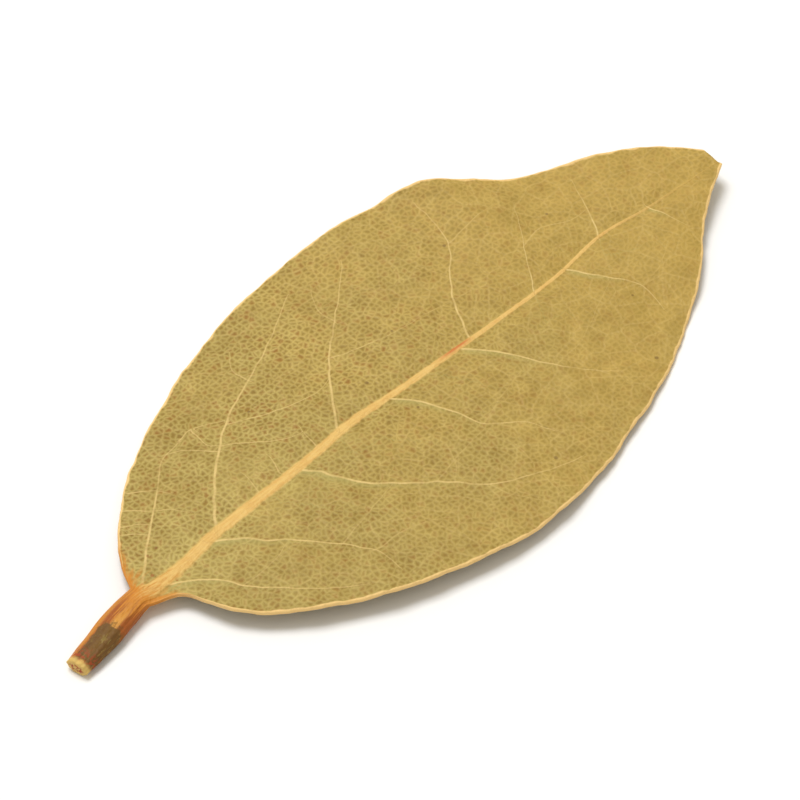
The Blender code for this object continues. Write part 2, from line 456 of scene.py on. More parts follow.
# %% Distances on each half
run_grid = np.repeat(station[:, None], HALF_COLUMNS + 1, 1)
rib = rib_half[:, None]
side_veins, branches = (
    {side: [measure.reshape(run_grid.shape)
            for measure in vein_distances(halves[side][0].reshape(-1, 2), veins)]
     for side in halves} for veins in (SIDE_VEINS, THIN_VEINS))
print("within 0.5 mm of a side vein:",
      round(float((np.abs(side_veins["left"][0]) < 0.5).mean() * 100)), "% of the left half")

# %% [markdown]
# The tissue is lowest along the veins, which hold it, and over the midrib it sinks a
# little. A displacement modifier would need a picture of the veins. The measured distances
# already say where they are.

# %% Pucker and margin waves
LAMINA_LIFT, PUCKER, RIB_SINK = 0.08, 0.10, 0.14
PUCKER_WAVES = ((1.0, 0.21, 2.0), (0.5, 0.5, 7.0))  # strength, waves in a mm, and a seed
WAVE_DEPTH, WAVE_LENGTH, WAVE_REACH = 0.13, 3.1, 2.2
WAVE_SEED = {"left": 21, "right": 27}


def middle_surface(side):
    """Heights of the surface halfway between the upper and the under face."""
    places, height, across, to_margin = halves[side]
    open_blade = smoothstep(1.0, 5.0, run_grid) * smoothstep(0.1, 1.4, across - rib)
    open_blade *= 1 - smoothstep(58.0, 61.0, run_grid)
    pucker = np.array([
        sum(strength * noise.noise(Vector((x * waves, y * waves, seed)))
            for strength, waves, seed in PUCKER_WAVES) for x, y in places.reshape(-1, 2)
    ]).reshape(run_grid.shape)
    lift = LAMINA_LIFT * (1 - bell(np.abs(side_veins[side][0]), 1.2)) + PUCKER * pucker
    wave = wander(station, WAVE_LENGTH, WAVE_SEED[side])[:, None]
    wave = WAVE_DEPTH * wave * np.exp(-to_margin / WAVE_REACH) * smoothstep(2, 8, run_grid)
    middle = height + open_blade * lift + wave * (1 - smoothstep(57.0, 60.5, run_grid))
    return middle - RIB_SINK * bell(across, rib + 0.55) * smoothstep(1.0, 6.0, run_grid)


middles = {side: middle_surface(side) for side in halves}
print("middle surface up to", max(m.max() for m in middles.values()).round(2), "mm")

# %% [markdown]
# The blade is a third of a millimetre thick and closes in a round margin. Solidify would
# give it one thickness everywhere. Here each face stands off the middle surface by its
# own amount, so the oval of the stalk runs on into the midrib, and the veins stand out
# more below than above.

# %% Thickness, vein ridges and the raised rim
BLADE_HALF_THICKNESS, MARGIN_ROUND = 0.16, 0.16
RIDGES_UP, RIDGES_UNDER = (0.03, 0.012), (0.11, 0.04)  # of side veins and of branches
RIM_HEIGHT, TIP_CLOSING = 0.035, [0.92, 0.75, 0.45, 0.0]
tip_end = np.ones((rows, 1))
tip_end[-len(EDGE_SHARES):, 0] = TIP_CLOSING


def thickness(side):
    """How far the upper and the under face stand off the middle surface."""
    _, _, across, to_margin = halves[side]
    reach, branch_reach = np.abs(side_veins[side][0]), np.abs(branches[side][0])
    edge = np.clip(1 - to_margin / MARGIN_ROUND, 0, 1)
    thin = np.sqrt(np.clip(1 - edge * edge, 0, 1))
    blade = BLADE_HALF_THICKNESS * thin * smoothstep(-2.5, 0.5, run_grid)
    oval = np.sqrt(np.clip(1 - (across / rib) ** 2, 0, 1))
    stout = np.clip(side_veins[side][1] / 0.12, 0, 1.3)
    ridge_up = RIDGES_UP[0] * bell(reach, 0.24) * stout
    ridge_up += RIDGES_UP[1] * bell(branch_reach, 0.22)
    ridge_under = RIDGES_UNDER[0] * bell(reach, 0.32) * stout
    ridge_under += RIDGES_UNDER[1] * bell(branch_reach, 0.28)
    rim = RIM_HEIGHT * bell(to_margin - MARGIN_ROUND, 0.13) * smoothstep(0.5, 3.0, run_grid)
    fade = smoothstep(0.0, 0.5, to_margin)
    up = (blade**4 + (rib_top[:, None] * oval) ** 4) ** 0.25
    up += (ridge_up * fade + rim) * thin
    under = (blade**4 + (rib_under[:, None] * oval) ** 4) ** 0.25
    under += (ridge_under * fade + rim) * thin
    return up * tip_end, under * tip_end


faces = {}
for side in halves:
    up, under = thickness(side)
    faces[side] = middles[side] + up, middles[side] - under
print("highest point", max(f[0].max() for f in faces.values()).round(2), "mm on the ruler")

# %% [markdown]
# The finish has to know where on the leaf it is. It could be painted by hand or read from
# an unwrapped map. Numbers at each vertex, such as the distance to a vein or to the
# margin, need neither.

# %% Numbers that the finish reads
RIM_WIDTH = 0.19
FLUSH_PULL = {"left": 3.2, "right": 1.2}  # how far the orange neck runs up each margin
PATCH_CENTRE, PATCH_HALF = (-5.3, -0.3), (2.1, 0.9)


def finish_numbers(side):
    """One number for each place and each thing that the finish has to know."""
    _, _, across, to_margin = halves[side]
    signed, width, gone = side_veins[side]
    branch_signed, branch_width, _ = branches[side]
    left = side == "left"
    turned = across / (across + to_margin) * (1 if left else -1)
    broad = (0.03 + 0.09 * smoothstep(28.0, 42.0, run_grid) if left
             else 0.04 * bell(run_grid - 8, 9))
    return {
        "along": run_grid, "turned": turned, "across_rib": across / rib,
        "rim": to_margin / (RIM_WIDTH + broad),
        "flush": (run_grid - FLUSH_PULL[side] * np.exp(-to_margin / 0.5)
                  + 0.5 * bell(across, 0.6 * rib)),
        "patch": (((run_grid - PATCH_CENTRE[0]) / PATCH_HALF[0]) ** 4
                  + ((turned - PATCH_CENTRE[1]) / PATCH_HALF[1]) ** 4) ** 0.25,
        "vein": np.clip(signed / width, -FAR, FAR),
        "vein_reach": np.abs(signed), "vein_gone": gone,
        "branch": np.clip(branch_signed / branch_width, -FAR, FAR),
        "branch_reach": np.abs(branch_signed),
    }


half_numbers = {side: finish_numbers(side) for side in halves}
print("numbers for the finish:", ", ".join(half_numbers["left"]))

# %% [markdown]
# The columns run from the right margin over the upper face to the left margin, and back
# under. Laid side by side, the four half faces make one sheet without a gap.

# %% Lay the four half faces side by side
def side_by_side(take):
    """Right margin, upper face, left margin, underside and back to the right margin."""
    right_up, left_up = take("right", 0)[:, ::-1], take("left", 0)
    left_under, right_under = take("left", 1)[:, ::-1], take("right", 1)
    rest = [part[:, 1:] for part in (left_up, left_under, right_under)]
    return np.concatenate([right_up, *rest], axis=1)


skin_xy = side_by_side(lambda side, face: halves[side][0])
skin_z = side_by_side(lambda side, face: faces[side][face])
skin_numbers = {key: side_by_side(lambda side, face, key=key: half_numbers[side][key])
                for key in half_numbers["left"]}
skin_numbers["upper"] = side_by_side(
    lambda side, face: np.full((rows, HALF_COLUMNS + 1), 1.0 - face))
columns = skin_z.shape[1]
skin = np.dstack([skin_xy, skin_z])
turn = np.linspace(0, 1, columns)
skin_numbers["around"] = np.repeat(turn[None], rows, 0)
print("the skin carries", ", ".join(skin_numbers))

# %% [markdown]
# A stalk shrinks as it dries and its skin sinks into lengthwise grooves. Cut grooves
# would all be alike. Noise that is stretched along the stalk gives some deep and some
# shallow ones, and it is read around a circle, so that it meets itself at the seam.

# %% Grooves along the stalk
axis_height = middle_height[:, None, None]
core = np.concatenate([np.repeat(centre[:, None], columns, 1),
                       np.repeat(axis_height, columns, 1)], axis=2)
GROOVED_ROWS = STALK_ROWS + 30
GROOVE_DEPTH, GROOVES_AROUND, GROOVES_PER_MM = 0.13, 2.6, 0.16
circle = GROOVES_AROUND * np.stack([np.cos(math.tau * turn), np.sin(math.tau * turn)], 1)
grooves = np.array([[noise.noise(Vector((x, y, s * GROOVES_PER_MM))) for x, y in circle]
                    for s in station[:GROOVED_ROWS]])
hold = (1 - smoothstep(-1.5, 3.5, station[:GROOVED_ROWS]))[:, None]
outward = skin[:GROOVED_ROWS] - core[:GROOVED_ROWS]
skin[:GROOVED_ROWS] += outward * (GROOVE_DEPTH * grooves * hold)[:, :, None]
print("skin of", skin.shape[0], "rows and", columns, "columns")

# %% [markdown]
# The stalk was snipped off, which leaves a nearly flat oval face with a slightly rounded
# edge. A flat fan of faces would look sawn, so a few shrinking rings bulge it a little.

# %% The cut face closes the stalk
CUT_BULGE = 0.10
CAP_RINGS = [0.0, 0.3, 0.55, 0.75, 0.9, 0.965]  # sizes of the rings, from the middle out
middle_of_cut = np.array([*centre[0], middle_height[0]])
outwards = -np.array([*tangent[0], 0.0])
rings = [middle_of_cut + (skin[0] - middle_of_cut) * size
         + outwards * CUT_BULGE * (1 - size**2) ** 0.5 for size in CAP_RINGS]
skin = np.concatenate([np.array(rings), skin])
for key, value in skin_numbers.items():
    skin_numbers[key] = np.concatenate([np.repeat(value[:1], len(rings), 0), value])
cut = np.zeros(skin.shape[:2])
cut[:len(CAP_RINGS)] = 1 - 0.5 * np.array(CAP_RINGS)[:, None]
skin_numbers["cut"] = cut
print("cut face of", len(rings), "rings")

# %% [markdown]
# Blender's grid primitive is a flat sheet of evenly spaced vertices. Each one is moved to
# its place on the skin, which rolls the sheet up into the leaf, and keeps its numbers as
# attributes for the finish. Faces listed one by one would do the same with more code.

# %% Roll the grid up into the leaf
def deselect():
    """An operator acts on all that is selected, so nothing is left selected before it."""
    for thing in bpy.context.selected_objects:
        thing.select_set(False)


deselect()
bpy.ops.mesh.primitive_grid_add(
    x_subdivisions=columns - 1, y_subdivisions=len(skin) - 1, size=1)
leaf = bpy.context.object
leaf.name = leaf.data.name = "dried_bay_leaf"
order = np.empty(len(leaf.data.vertices) * 3)
leaf.data.vertices.foreach_get("co", order)
order = order.reshape(-1, 3)
column = np.rint((order[:, 0] + 0.5) * (columns - 1)).astype(int)
row = np.rint((order[:, 1] + 0.5) * (len(skin) - 1)).astype(int)
leaf.data.vertices.foreach_set("co", ((skin[row, column] + ZERO) * MM).ravel())
for key, value in skin_numbers.items():
    held = leaf.data.attributes.new(key, "FLOAT", "POINT")
    held.data.foreach_set("value", value[row, column].astype(np.float32))
held = leaf.data.attributes.new("ruler", "FLOAT_VECTOR", "POINT")
held.data.foreach_set("vector", skin[row, column].astype(np.float32).ravel())
print("grid of", len(leaf.data.vertices), "vertices")

# %% [markdown]
# The grid's two long sides now lie on each other, and its ends have shrunk to a point and
# to a line. Merging the vertices that coincide closes the skin.

# %% Join the seam and both ends, and turn the faces outwards
MERGE = 1e-7
bpy.ops.object.mode_set(mode="EDIT")
bpy.ops.mesh.select_all(action="SELECT")
bpy.ops.mesh.remove_doubles(threshold=MERGE)
bpy.ops.mesh.normals_make_consistent(inside=False)
bpy.ops.object.mode_set(mode="OBJECT")
leaf.data.shade_smooth()
triangles = sum(len(p.vertices) - 2 for p in leaf.data.polygons)
print("leaf of", triangles, "triangles")

# %% [markdown]
# ## Finish
#
# Dry leaf tissue is matte with a faint waxy sheen. Its colour comes from layers under the
# skin: pale, woody veins, and darker olive cells between them. A painted image would blur
# close up, so the finish is built from nodes, from the broad tint down to the finest net.
# The drawn veins come from distances that the mesh carries, so their colour and their
# ridges always agree.

# %% Colours and a small node helper
SMOOTH = {"interpolation_type": "SMOOTHSTEP"}
COLOUR = {"data_type": "RGBA"}
TIMES = {"operation": "MULTIPLY"}
TIMES_ADD = {"operation": "MULTIPLY_ADD"}
FALLING = {"To_Min": 1.0, "To_Max": 0.0}


def linear(code):
    """An sRGB hex colour as linear RGBA."""
    parts = [int(code[i:i + 2], 16) / 255 for i in (1, 3, 5)]
    return (*[c / 12.92 if c <= 0.04045 else ((c + 0.055) / 1.055) ** 2.4 for c in parts], 1.0)


def add_node(kind, settings=None, *in_order, **inputs):
    """A node with its settings. Each input is a value, an output, or a node to take it from.

    Inputs are given in the order of the node's sockets, or by the socket's name. The two
    colours of a Mix node share their names with other sockets, so i6 and i7 give their
    places.
    """
    node = tree.nodes.new("ShaderNode" + kind)
    for key, value in (settings or {}).items():
        setattr(node, key, value)
    given = {f"i{place}": value for place, value in enumerate(in_order)}
    for key, value in {**given, **inputs}.items():
        by_place = key[0] == "i" and key[1:].isdigit()
        socket = node.inputs[int(key[1:]) if by_place else key.replace("_", " ")]
        if isinstance(value, bpy.types.Node):
            value = next(out for out in value.outputs if out.enabled)
        if isinstance(value, bpy.types.NodeSocket):
            tree.links.new(value, socket)
        else:
            socket.default_value = value
    return node


print("mid grey #808080 is", round(linear("#808080")[0], 3), "in linear light")

# %% [markdown]
# Every pattern needs a place to be drawn from. Object coordinates would do, but the leaf's
# own ruler in millimetres is easier to think in: a pattern's scale is one over its size.
# The net reads the ruler slightly bent by noise, so that none of its lines is straight.

# %% Numbers that the mesh carries, and the ruler for the patterns
# Dry, matte tissue: it takes the light evenly, and the eye reads it as thin and brittle.
finish = bpy.data.materials.new("dried_bay_leaf_tissue")
finish.use_nodes = True
tree = finish.node_tree
shader = tree.nodes["Principled BSDF"]
ruler = add_node("Attribute", {"attribute_name": "ruler"}).outputs["Vector"]
carried = {key: add_node("Attribute", {"attribute_name": key}).outputs["Fac"]
           for key in skin_numbers}
run, upper, turned_share = carried["along"], carried["upper"], carried["turned"]
around, across_rib = carried["around"], carried["across_rib"]
DRIFT, DRIFT_LENGTH = 0.22, 0.9
drift = add_node("TexNoise", Vector=ruler, Scale=1 / DRIFT_LENGTH, Detail=1.0)
drift_middle = add_node("VectorMath", {"operation": "SUBTRACT"},
                        drift.outputs["Color"], (0.5, 0.5, 0.5))
drifted = add_node("VectorMath", TIMES_ADD, drift_middle, (DRIFT, DRIFT, 0.0), ruler)
flat_ruler = add_node("VectorMath", TIMES, drifted, (1.0, 1.0, 0.0))
print(len(carried), "numbers read from the mesh:", ", ".join(carried))

# %% [markdown]
# ### The broad tint
#
# The blade is greener and greyer by the stalk and more ochre by the tip, in soft patches
# a few millimetres across. A plain gradient would look airbrushed, so noise pushes it to
# and fro. The two tints of each place are the cells of the net and its lines, and the net
# then chooses between them.

# %% Tints of the cells and of the net's lines
BASE_CELL, BASE_LINE = "#8A6F29", "#BDA960"
TIP_CELL, TIP_LINE = "#9B8036", "#C9A857"
UNDER_CELL, UNDER_LINE = "#957F45", "#B6A368"
PATCH_SIZE, PATCH_PUSH = 7.7, 60.0

patches = add_node("TexNoise", Vector=ruler, Scale=1 / PATCH_SIZE, Detail=6.0, Roughness=0.65)
ripened = add_node("Math", TIMES_ADD, patches, PATCH_PUSH, run)
to_tip = add_node("MapRange", SMOOTH, Value=ripened, From_Min=39.0, From_Max=87.0)
cell_upper = add_node("Mix", COLOUR, to_tip, i6=linear(BASE_CELL), i7=linear(TIP_CELL))
line_upper = add_node("Mix", COLOUR, to_tip, i6=linear(BASE_LINE), i7=linear(TIP_LINE))
cell_tint = add_node("Mix", COLOUR, upper, i6=linear(UNDER_CELL), i7=cell_upper)
line_tint = add_node("Mix", COLOUR, upper, i6=linear(UNDER_LINE), i7=line_upper)
print("broad tint in patches of", PATCH_SIZE, "mm")

# %% [markdown]
# ### The fine net
#
# The smallest veins close into meshes about half a millimetre across, with a finer set
# inside. Modelling them would take millions of faces for what is mostly colour. Voronoi
# cells have just such shared edges: where the distance to an edge is small, there is a
# vein. The finer set is really 0.15 mm across, too fine to show, so it is drawn at 0.23 mm.

# %% Two sizes of mesh
MESH, FINE_MESH = 0.46, 0.23
EDGES = {"voronoi_dimensions": "2D", "feature": "DISTANCE_TO_EDGE"}
CELLS = {"voronoi_dimensions": "2D", "feature": "F1"}

mesh_cells = add_node("TexVoronoi", EDGES, Vector=flat_ruler, Scale=1 / MESH, Randomness=0.85)
fine_cells = add_node("TexVoronoi", EDGES, Vector=flat_ruler, Scale=1 / FINE_MESH,
                      Randomness=0.9)
mesh_line = add_node("MapRange", Value=mesh_cells,
                     From_Min=0.02, From_Max=0.42, To_Min=0.95, To_Max=0.0)
fine_line = add_node("MapRange", SMOOTH, Value=fine_cells,
                     From_Min=0.02, From_Max=0.24, To_Min=0.14, To_Max=0.0)
net = add_node("Math", {"operation": "ADD"}, mesh_line, fine_line)
print("net meshes of", MESH, "and", FINE_MESH, "mm")

# %% [markdown]
# The net is clearest by the stalk on the left half, and fades to the right and to the
# tip. One fade would look like a filter, so three are multiplied: across the leaf, along
# it, and in soft patches.

# %% Where the net is clear
CLEAR_SIZE = 2.9
clear_side = add_node("MapRange", SMOOTH, Value=turned_share,
                      From_Min=-0.6, From_Max=0.5, To_Min=0.52, To_Max=0.74)
clear_run = add_node("MapRange", SMOOTH, Value=run,
                     From_Min=22.0, From_Max=50.0, To_Min=1.0, To_Max=0.50)
clearer = add_node("TexNoise", Vector=ruler, Scale=1 / CLEAR_SIZE, Detail=2.0)
clear_patch = add_node("MapRange", Value=clearer,
                       From_Min=0.3, From_Max=0.7, To_Min=0.65, To_Max=1.15)
clear_both = add_node("Math", TIMES, clear_side, clear_run)
clearness = add_node("Math", TIMES, clear_both, clear_patch)
print("the net fades in patches of", CLEAR_SIZE, "mm")

# %% [markdown]
# The blade is mottled at about two millimetres and paler beside the midrib near the
# stalk, and some single cells dried browner or more orange. The mottle only shifts the
# share of line colour, which keeps it to the leaf's own two tints, and a cell's own
# random numbers choose whether it is an odd one.

# %% Mottling and dry cells
MOTTLE, MOTTLE_DEPTH = 1.8, 0.50
NET_MEAN, NET_LEVEL = 0.60, 0.40
DRY_CELL, WARM_CELL = "#7A5A22", "#975C1E"
from_mean = add_node("Math", {"operation": "SUBTRACT"}, net, NET_MEAN)
mottle = add_node("TexNoise", Vector=ruler, Scale=1 / MOTTLE, Detail=2.0, Roughness=0.9)
mottled = add_node("MapRange", {"clamp": False}, Value=mottle,
                   To_Min=NET_LEVEL - MOTTLE_DEPTH, To_Max=NET_LEVEL + MOTTLE_DEPTH)
near_rib = add_node("MapRange", SMOOTH, Value=across_rib,
                    From_Min=1.0, From_Max=9.0, To_Min=0.15, To_Max=0.0)
near_base = add_node("MapRange", SMOOTH, Value=run, From_Min=10.0, From_Max=26.0, **FALLING)
paler = add_node("Math", TIMES_ADD, near_rib, near_base, mottled)
net_shown = add_node("Math", {**TIMES_ADD, "use_clamp": True}, from_mean, clearness, paler)
cell_luck = add_node("TexVoronoi", CELLS, Vector=flat_ruler, Scale=1 / MESH, Randomness=0.85)
cell_number = add_node("SeparateColor", Color=cell_luck.outputs["Color"])
cell_dry = add_node("MapRange", Value=cell_number, From_Min=0.35, From_Max=1.0, To_Max=0.34)
cell_faded = add_node("Math", TIMES, cell_dry, clear_both)
cell_mixed = add_node("Mix", COLOUR, cell_faded, i6=cell_tint, i7=linear(DRY_CELL))
cell_warm = add_node("MapRange", Value=cell_number.outputs["Green"],
                     From_Min=0.62, From_Max=1.0, To_Max=0.62)
warm_faded = add_node("Math", TIMES, cell_warm, clear_both)
cell_final = add_node("Mix", COLOUR, warm_faded, i6=cell_mixed, i7=linear(WARM_CELL))
with_net = add_node("Mix", COLOUR, net_shown, i6=cell_final, i7=line_tint)
print("mottled at", MOTTLE, "mm")

# %% [markdown]
# ### Veins of the middle size
#
# Between the side veins and the net there are thin veins two or three millimetres apart.
# They are faint on the upper face. The clearest are drawn one by one as branches. Drawing
# all of them would take hundreds of points, so the rest are edges of larger cells.

# %% Loops, and breaks in the drawn veins
LOOP, BREAK_LENGTH = 2.1, 1.25
loop_cells = add_node("TexVoronoi", EDGES, Vector=flat_ruler, Scale=1 / LOOP, Randomness=1.0)
loop_line = add_node("MapRange", SMOOTH, Value=loop_cells,
                     From_Min=0.01, From_Max=0.06, To_Min=0.13, To_Max=0.0)
vein_break = add_node("TexNoise", Vector=ruler, Scale=1 / BREAK_LENGTH, Detail=2.0)
vein_whole = add_node("MapRange", Value=vein_break,
                      From_Min=0.35, From_Max=0.55, To_Min=0.5, To_Max=1.0)
print("loops of", LOOP, "mm, breaks every", BREAK_LENGTH, "mm or so")

# %% [markdown]
# A drawn vein could be a thin strip of mesh, but its edges would be too hard. Here the
# mesh carries the distance to the nearest vein in half widths, and a smooth step of that
# distance is the vein. Side veins fade towards the margin and break up here and there,
# and branches show best on the left half by the stalk.

# %% Side veins and branches
SIDE_STRENGTH, BRANCH_STRENGTH = 0.88, 0.62


def vein_line(name, strength):
    """How strongly a drawn vein shows: its own width wide, and only close to it."""
    reach = add_node("Math", {"operation": "ABSOLUTE"}, carried[name])
    line = add_node("MapRange", SMOOTH, Value=reach,
                    From_Min=0.25, From_Max=1.15, To_Min=strength, To_Max=0.0)
    close = add_node("MapRange", SMOOTH, Value=carried[name + "_reach"],
                     From_Min=0.25, From_Max=0.6, **FALLING)
    shown = add_node("Math", TIMES, line, close)
    return add_node("Math", TIMES, shown, vein_whole)


gone_fade = add_node("MapRange", Value=carried["vein_gone"],
                     From_Min=0.2, From_Max=1.0, To_Min=1.0, To_Max=0.5)
side_line = add_node("Math", TIMES, vein_line("vein", SIDE_STRENGTH), gone_fade)
branch_fade = add_node("MapRange", SMOOTH, Value=run,
                       From_Min=14.0, From_Max=38.0, To_Min=1.0, To_Max=0.55)
branch_side = add_node("MapRange", SMOOTH, Value=turned_share,
                       From_Min=-0.1, From_Max=0.1, To_Min=0.5, To_Max=1.0)
branch_kept = add_node("Math", TIMES, branch_fade, branch_side)
branch_line = add_node("Math", TIMES, vein_line("branch", BRANCH_STRENGTH), branch_kept)
thin_lines = add_node("Math", {"operation": "MAXIMUM"}, loop_line, branch_line)
print(len(tree.nodes), "nodes so far")

# %% [markdown]
# On the right half a painted highlight lies just behind each side vein. The tissue there is
# made a little greener and paler, as where it bulges up towards the light. The carried
# distance is signed, so one side of a vein can be told from the other, and the painted
# highlight needs no mask of its own.

# %% The painted highlight behind the side veins, and the veins' colours
VEIN_UPPER, VEIN_UNDER, VEIN_HIGHLIGHT_TINT = "#DDC07C", "#C8B478", "#A69C58"
behind = add_node("MapRange", SMOOTH, Value=carried["vein"], From_Min=-6.5, From_Max=-1.0)
ahead = add_node("MapRange", SMOOTH, Value=carried["vein"],
                 From_Min=-0.5, From_Max=0.5, **FALLING)
on_right = add_node("MapRange", SMOOTH, Value=turned_share,
                    From_Min=-0.06, From_Max=-0.01, **FALLING)
highlight_fade = add_node("MapRange", SMOOTH, Value=carried["vein_gone"],
                     From_Min=0.1, From_Max=0.7, To_Min=0.5, To_Max=0.0)
# Painted highlight: only behind each vein, strongest near its root, and on the right half only.
painted_highlight = behind
for share_shown in (ahead, highlight_fade, on_right):
    painted_highlight = add_node("Math", TIMES, painted_highlight, share_shown)
with_painted_highlight = add_node("Mix", COLOUR, painted_highlight, i6=with_net, i7=linear(VEIN_HIGHLIGHT_TINT))
vein_tint = add_node("Mix", COLOUR, upper, i6=linear(VEIN_UNDER), i7=linear(VEIN_UPPER))
with_thin = add_node("Mix", COLOUR, thin_lines, i6=with_painted_highlight, i7=vein_tint)
with_side = add_node("Mix", COLOUR, side_line, i6=with_thin, i7=vein_tint)
print("veins are", VEIN_UPPER, "above and", VEIN_UNDER, "below")

# %% [markdown]
# ### Specks
#
# Drying leaves a few dark specks on the blade. By the stalk they are red-brown and there
# are more of them. They could be placed one by one, but each Voronoi cell already has its
# own random number, so only the cells with the highest numbers show a speck.

# %% Dark and red-brown specks
SPECK_SPACING = 1.0
SPECK, SPECK_RED = "#6B4E22", "#94461A"
speck_cells = add_node("TexVoronoi", CELLS, Vector=ruler, Scale=1 / SPECK_SPACING,
                       Randomness=1.0)
speck_luck = add_node("SeparateColor", Color=speck_cells.outputs["Color"])
speck_size = add_node("MapRange", Value=speck_luck.outputs["Green"], To_Min=0.09, To_Max=0.20)
speck_reach = add_node("Math", {"operation": "DIVIDE"}, speck_cells, speck_size)
speck_spot = add_node("MapRange", SMOOTH, Value=speck_reach,
                      From_Min=0.5, From_Max=1.1, To_Min=0.6, To_Max=0.0)
near_stalk = add_node("MapRange", SMOOTH, Value=run, From_Min=2.0, From_Max=7.0, **FALLING)
speck_limit = add_node("MapRange", Value=near_stalk, To_Min=0.994, To_Max=0.78)
speck_chosen = add_node("Math", {"operation": "GREATER_THAN"}, speck_luck, speck_limit)
speck_shown = add_node("Math", TIMES, speck_spot, speck_chosen)
speck_tint = add_node("Mix", COLOUR, near_stalk, i6=linear(SPECK), i7=linear(SPECK_RED))
with_specks = add_node("Mix", COLOUR, speck_shown, i6=with_side, i7=speck_tint)
print("specks 0.2 to 0.4 mm across, in cells of", SPECK_SPACING, "mm")

# %% [markdown]
# ### Midrib
#
# The midrib is a pale cream-yellow, with faint lengthwise fibres. It thins and fades
# beyond the last side vein. A separate strip would part from the blade at its edges, so
# it is the same skin, tinted by the distance from its middle, and its fibres are noise
# stretched along it.

# %% Midrib
MIDRIB_TINT, MIDRIB_STREAK = "#DDB86C", "#C68F40"
FIBRE_LENGTH, FIBRES_AROUND = 2.2, 46.0
STREAK_LENGTH, STREAKS_ACROSS = 1.4, 2.6
RIB_UNEVEN, RIB_RAGGED = 0.6, 0.7
fibre_place = add_node("CombineXYZ", X=run, Y=around)
fibre_scaled = add_node("VectorMath", TIMES, fibre_place,
                        (1 / FIBRE_LENGTH, FIBRES_AROUND, 1.0))
fibres = add_node("TexNoise", Vector=fibre_scaled, Scale=1.0, Detail=3.0, Roughness=0.6)
rib_noise = add_node("TexNoise", Vector=ruler, Scale=1 / RIB_UNEVEN, Detail=3.0)
rib_uneven = add_node("Math", TIMES_ADD, rib_noise, RIB_RAGGED, across_rib)
rib_shown = add_node("MapRange", SMOOTH, Value=run,
                     From_Min=48.0, From_Max=59.0, To_Min=1.0, To_Max=0.15)
rib_edge = add_node("MapRange", SMOOTH, Value=rib_uneven,
                    From_Min=0.95, From_Max=1.5, To_Min=rib_shown, To_Max=0.0)
streak_place = add_node("CombineXYZ", X=run, Y=across_rib)
streak_scaled = add_node("VectorMath", TIMES, streak_place,
                         (1 / STREAK_LENGTH, STREAKS_ACROSS, 1.0))
streaks = add_node("TexNoise", Vector=streak_scaled, Scale=1.0, Detail=3.0, Roughness=0.6)
streak_most = add_node("MapRange", SMOOTH, Value=run,
                       From_Min=0.0, From_Max=7.0, To_Min=1.0, To_Max=0.45)
streak = add_node("MapRange", SMOOTH, Value=streaks,
                  From_Min=0.35, From_Max=0.68, To_Max=streak_most)
rib_streaked = add_node("Mix", COLOUR, streak, i6=linear(MIDRIB_TINT), i7=linear(MIDRIB_STREAK))
print("midrib fibres", FIBRE_LENGTH, "mm long")

# %% [markdown]
# One short stretch of the midrib is stained orange-red, mostly on its left side. It is
# one ramp up and one ramp down along the leaf, so its length is set in millimetres.

# %% The stain on the midrib
MIDRIB_STAIN = "#BE5A22"
stain_start = add_node("MapRange", SMOOTH, Value=run, From_Min=31.2, From_Max=33.0)
stain_stop = add_node("MapRange", SMOOTH, Value=run,
                      From_Min=34.0, From_Max=35.2, To_Min=0.75, To_Max=0.0)
stain_left = add_node("MapRange", SMOOTH, Value=turned_share,
                      From_Min=-0.008, From_Max=0.006, To_Min=0.15, To_Max=1.0)
stain_run = add_node("Math", TIMES, stain_start, stain_stop)
stain = add_node("Math", TIMES, stain_run, stain_left)
rib_tint = add_node("Mix", COLOUR, stain, i6=rib_streaked, i7=linear(MIDRIB_STAIN))
with_rib = add_node("Mix", COLOUR, rib_edge, i6=with_specks, i7=rib_tint)
print("stain from 31 to 35 mm along the midrib")

# %% [markdown]
# ### Rim
#
# The rim is a thin cream line, where the margin's strengthening tissue shows. It is
# broadest low on the right and along the lifted left margin. The mesh carries the
# distance to the margin in rim widths, and noise makes the line thicker and thinner.

# %% Rim
RIM_TINT, RIM_UNEVEN = "#F0CA86", 1.25
rim_noise = add_node("TexNoise", Vector=ruler, Scale=1 / RIM_UNEVEN, Detail=3.0)
rim_width = add_node("MapRange", Value=rim_noise,
                     From_Min=0.3, From_Max=0.7, To_Min=0.55, To_Max=1.35)
rim_reach = add_node("Math", {"operation": "DIVIDE"}, carried["rim"], rim_width)
rim_line = add_node("MapRange", SMOOTH, Value=rim_reach,
                    From_Min=0.6, From_Max=1.3, To_Min=0.9, To_Max=0.0)
with_rim = add_node("Mix", COLOUR, rim_line, i6=with_rib, i7=linear(RIM_TINT))
print("rim uneven at", RIM_UNEVEN, "mm")

# %% [markdown]
# ### The orange neck
#
# Where blade and stalk meet, both are flushed orange, and the flush runs up into the left
# margin. The mesh carries a distance that already bends along the margin and the midrib.
# The fibres' noise is added to it, so that the flush ends in streaks and not in a line.
# The stalk's left edge and a strip just right of its middle stay paler, where the
# midrib's tissue runs on into it.

# %% The flush at the neck
FLUSH, FLUSH_DEEP = "#C8812A", "#9A531D"
STALK_EDGE, STALK_STRIP, STRIP_SIDE = "#CE8A34", "#D89E48", 0.25
FLUSH_STREAKS = 8.0
flush_reach = add_node("Math", TIMES_ADD, fibres, FLUSH_STREAKS, carried["flush"])
flush = add_node("MapRange", SMOOTH, Value=flush_reach, From_Min=3.2, From_Max=6.4, **FALLING)
with_flush = add_node("Mix", COLOUR, flush, i6=with_rim, i7=linear(FLUSH))
deep = add_node("MapRange", SMOOTH, Value=flush_reach, From_Min=1.0, From_Max=3.4, **FALLING)
stalk_left = add_node("MapRange", SMOOTH, Value=turned_share,
                      From_Min=0.45, From_Max=0.8, To_Max=0.75)
strip_off = add_node("Math", {"operation": "ADD"}, turned_share, STRIP_SIDE)
strip_reach = add_node("Math", {"operation": "ABSOLUTE"}, strip_off)
